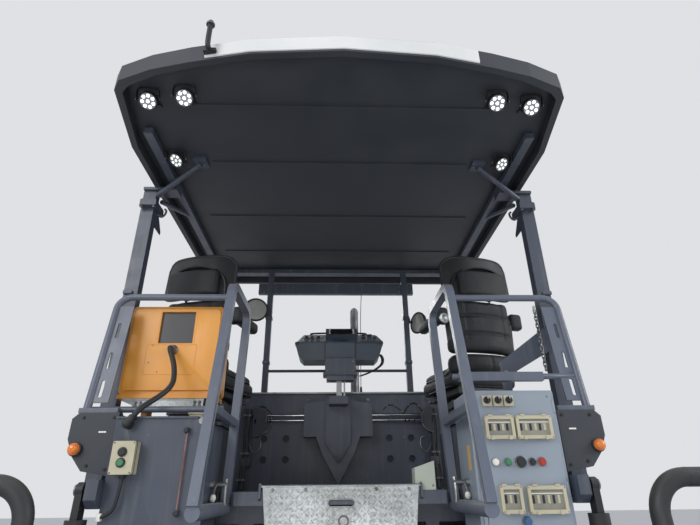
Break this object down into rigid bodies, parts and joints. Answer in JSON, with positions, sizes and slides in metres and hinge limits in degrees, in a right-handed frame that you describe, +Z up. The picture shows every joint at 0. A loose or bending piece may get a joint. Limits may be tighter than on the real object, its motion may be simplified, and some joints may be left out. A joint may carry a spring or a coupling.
{
  "type": "wheeled asphalt paver",
  "caption": "Road paver on tyres with operator platform, moulded canopy, folding receiving hopper, push rollers, augers and a telescopic floating screed.",
  "frame": {"origin": "on the ground under the middle of the machine's box", "axes": "+X the machine's right, +Y its direction of travel, +Z up"},
  "size_m": [2.55, 6.65, 3.71],
  "materials": {
    "slate_paint": "satin powder coat",
    "dark_moulding": "moulded, matt",
    "black_plastic": "matt",
    "black_vinyl": "grained vinyl",
    "tyre_rubber": "dusty rubber",
    "yellow_paint": "semi-gloss paint",
    "cabinet_grey": "smooth powder coat",
    "beige_plastic": "moulded",
    "galvanised": "spangled zinc",
    "worn_steel": "worn bare steel",
    "chromed_rod": "polished",
    "lamp_glass": "clear lens",
    "amber_lens": "clear amber"
  },
  "bodies": {
    "chassis": {"main_frame": "slate_paint", "engine_block": "worn_steel", "engine_cowl": "slate_paint", "exhaust_stack": "worn_steel", "platform": "slate_paint", "rear_axle": "slate_paint", "bogie_beams": "slate_paint", "conveyor": "worn_steel", "auger_carrier": "slate_paint", "entry_frames": "slate_paint", "handrails": "slate_paint", "canopy_frame": "slate_paint", "roof_shell": "dark_moulding", "roof_lamps": "lamp_glass", "storage_case": "yellow_paint", "case_cable": "black_plastic", "left_cabinet": "slate_paint", "button_box": "beige_plastic", "switch_cabinet": "cabinet_grey", "cabinet_controls": "beige_plastic", "side_guards": "black_plastic", "seat_stands": "slate_paint", "mirrors": "black_plastic"},
    "hood": {"hood_lid": "slate_paint"},
    "left_seat": {"seat_left": "black_vinyl"},
    "right_seat": {"seat_right": "black_vinyl"},
    "console": {"console_carriage": "slate_paint", "console_head": "dark_moulding"},
    "flap": {"passage_flap": "galvanised"},
    "left_wing": {"hopper_wing_left": "slate_paint"},
    "right_wing": {"hopper_wing_right": "slate_paint"},
    "apron": {"hopper_apron": "slate_paint"},
    "push_bar": {"push_beam": "slate_paint"},
    "rollers": {"push_rollers": "worn_steel"},
    "left_drive_wheel": {"rear_tyre_left": "tyre_rubber", "rear_rim_left": "slate_paint"},
    "right_drive_wheel": {"rear_tyre_right": "tyre_rubber", "rear_rim_right": "slate_paint"},
    "left_link": {"steering_link_left": "worn_steel"},
    "right_link": {"steering_link_right": "worn_steel"},
    "left_auger": {"auger_left": "worn_steel"},
    "right_auger": {"auger_right": "worn_steel"},
    "screed": {"tow_arms": "slate_paint", "screed_frame": "slate_paint", "screed_walkway": "galvanised"},
    "left_extension": {"extension_left": "slate_paint"},
    "right_extension": {"extension_right": "slate_paint"},
    "cylinder_barrels": {"lift_barrels": "black_plastic"},
    "cylinder_rods": {"lift_rods": "chromed_rod"},
    "front_left_knuckle": {"knuckle_front_left": "slate_paint"},
    "front_left_wheel": {"front_wheel_front_left": "tyre_rubber"},
    "front_right_knuckle": {"knuckle_front_right": "slate_paint"},
    "front_right_wheel": {"front_wheel_front_right": "tyre_rubber"},
    "rear_left_knuckle": {"knuckle_rear_left": "slate_paint"},
    "rear_left_wheel": {"front_wheel_rear_left": "tyre_rubber"},
    "rear_right_knuckle": {"knuckle_rear_right": "slate_paint"},
    "rear_right_wheel": {"front_wheel_rear_right": "tyre_rubber"}
  },
  "joints": [
    {"name": "left_drive_spin", "type": "hinge", "parent": "chassis", "child": "left_drive_wheel", "pos_m": [-0.845, -0.85, 0.64], "axis": [1, 0, 0], "continuous": true},
    {"name": "right_drive_spin", "type": "hinge", "parent": "chassis", "child": "right_drive_wheel", "pos_m": [0.845, -0.85, 0.64], "axis": [1, 0, 0], "continuous": true},
    {"name": "front_left_steer", "type": "hinge", "parent": "chassis", "child": "front_left_knuckle", "pos_m": [-0.63, 1.97, 0.28], "axis": [0, 0, 1], "range_deg": [-20, 20]},
    {"name": "front_left_spin", "type": "hinge", "parent": "front_left_knuckle", "child": "front_left_wheel", "pos_m": [-0.865, 1.97, 0.28], "axis": [1, 0, 0], "continuous": true},
    {"name": "front_right_steer", "type": "hinge", "parent": "chassis", "child": "front_right_knuckle", "pos_m": [0.63, 1.97, 0.28], "axis": [0, 0, 1], "range_deg": [-20, 20]},
    {"name": "front_right_spin", "type": "hinge", "parent": "front_right_knuckle", "child": "front_right_wheel", "pos_m": [0.865, 1.97, 0.28], "axis": [1, 0, 0], "continuous": true},
    {"name": "rear_left_steer", "type": "hinge", "parent": "chassis", "child": "rear_left_knuckle", "pos_m": [-0.63, 1.27, 0.28], "axis": [0, 0, 1], "range_deg": [-20, 20]},
    {"name": "rear_left_spin", "type": "hinge", "parent": "rear_left_knuckle", "child": "rear_left_wheel", "pos_m": [-0.865, 1.27, 0.28], "axis": [1, 0, 0], "continuous": true},
    {"name": "rear_right_steer", "type": "hinge", "parent": "chassis", "child": "rear_right_knuckle", "pos_m": [0.63, 1.27, 0.28], "axis": [0, 0, 1], "range_deg": [-20, 20]},
    {"name": "rear_right_spin", "type": "hinge", "parent": "rear_right_knuckle", "child": "rear_right_wheel", "pos_m": [0.865, 1.27, 0.28], "axis": [1, 0, 0], "continuous": true},
    {"name": "left_link_turn", "type": "hinge", "parent": "front_left_knuckle", "child": "left_link", "pos_m": [-0.535, 1.97, 0.165], "axis": [0, 0, 1], "range_deg": [-20, 20]},
    {"name": "left_auger_spin", "type": "hinge", "parent": "chassis", "child": "left_auger", "pos_m": [-0.6, -2.13, 0.33], "axis": [1, 0, 0], "continuous": true},
    {"name": "left_extension_slide", "type": "slide", "parent": "screed", "child": "left_extension", "axis": [-1, 0, 0], "range_m": [0, 0.6]},
    {"name": "left_seat_swivel", "type": "hinge", "parent": "chassis", "child": "left_seat", "pos_m": [-0.925, -1.33, 2.2], "axis": [0, 0, 1], "range_deg": [-10, 75]},
    {"name": "left_wing_lower", "type": "hinge", "parent": "chassis", "child": "left_wing", "pos_m": [-0.565, 1.99, 0.64], "axis": [0, -1, 0], "range_deg": [0, 42]},
    {"name": "right_link_turn", "type": "hinge", "parent": "front_right_knuckle", "child": "right_link", "pos_m": [0.535, 1.97, 0.165], "axis": [0, 0, 1], "range_deg": [-20, 20]},
    {"name": "right_auger_spin", "type": "hinge", "parent": "chassis", "child": "right_auger", "pos_m": [0.6, -2.13, 0.33], "axis": [1, 0, 0], "continuous": true},
    {"name": "right_extension_slide", "type": "slide", "parent": "screed", "child": "right_extension", "axis": [1, 0, 0], "range_m": [0, 0.6]},
    {"name": "right_seat_swivel", "type": "hinge", "parent": "chassis", "child": "right_seat", "pos_m": [0.925, -1.33, 2.2], "axis": [0, 0, -1], "range_deg": [-10, 75]},
    {"name": "right_wing_lower", "type": "hinge", "parent": "chassis", "child": "right_wing", "pos_m": [0.565, 1.99, 0.64], "axis": [0, 1, 0], "range_deg": [0, 42]},
    {"name": "screed_lift", "type": "hinge", "parent": "chassis", "child": "screed", "pos_m": [0, 0.42, 0.56], "axis": [-1, 0, 0], "range_deg": [0, 7]},
    {"name": "lift_barrel_swing", "type": "hinge", "parent": "chassis", "child": "cylinder_barrels", "pos_m": [0, -2.352, 1.735], "axis": [1, 0, 0], "range_deg": [0, 4.2]},
    {"name": "lift_rod_slide", "type": "slide", "parent": "cylinder_barrels", "child": "cylinder_rods", "axis": [0, 0, 1], "range_m": [0, 0.35]},
    {"name": "apron_tilt", "type": "hinge", "parent": "chassis", "child": "apron", "pos_m": [0, 2.88, 0.7153], "axis": [-1, 0, 0], "range_deg": [0, 35]},
    {"name": "push_bar_rock", "type": "hinge", "parent": "chassis", "child": "push_bar", "pos_m": [0, 2.985, 0.59], "axis": [0, 0, 1], "range_deg": [-5, 5]},
    {"name": "roller_spin", "type": "hinge", "parent": "push_bar", "child": "rollers", "pos_m": [0, 3.23, 0.59], "axis": [1, 0, 0], "continuous": true},
    {"name": "hood_open", "type": "hinge", "parent": "chassis", "child": "hood", "pos_m": [0, 0.186, 2.165], "axis": [1, 0, 0], "range_deg": [0, 50]},
    {"name": "console_slide", "type": "slide", "parent": "chassis", "child": "console", "axis": [1, 0, 0], "range_m": [-0.25, 0.25]},
    {"name": "flap_open", "type": "hinge", "parent": "chassis", "child": "flap", "pos_m": [0, -2.128, 1.742], "axis": [-1, 0, 0], "range_deg": [0, 75]}
  ],
  "couplings": [
    {"joint": "front_right_steer", "follows": "front_left_steer", "ratio": 1},
    {"joint": "rear_left_steer", "follows": "front_left_steer", "ratio": 1},
    {"joint": "rear_right_steer", "follows": "front_left_steer", "ratio": 1},
    {"joint": "left_link_turn", "follows": "front_left_steer", "ratio": -1},
    {"joint": "right_link_turn", "follows": "front_left_steer", "ratio": -1},
    {"joint": "lift_barrel_swing", "follows": "screed_lift", "ratio": 0.57},
    {"joint": "lift_rod_slide", "follows": "screed_lift", "m_per_rad": 2.74}
  ]
}
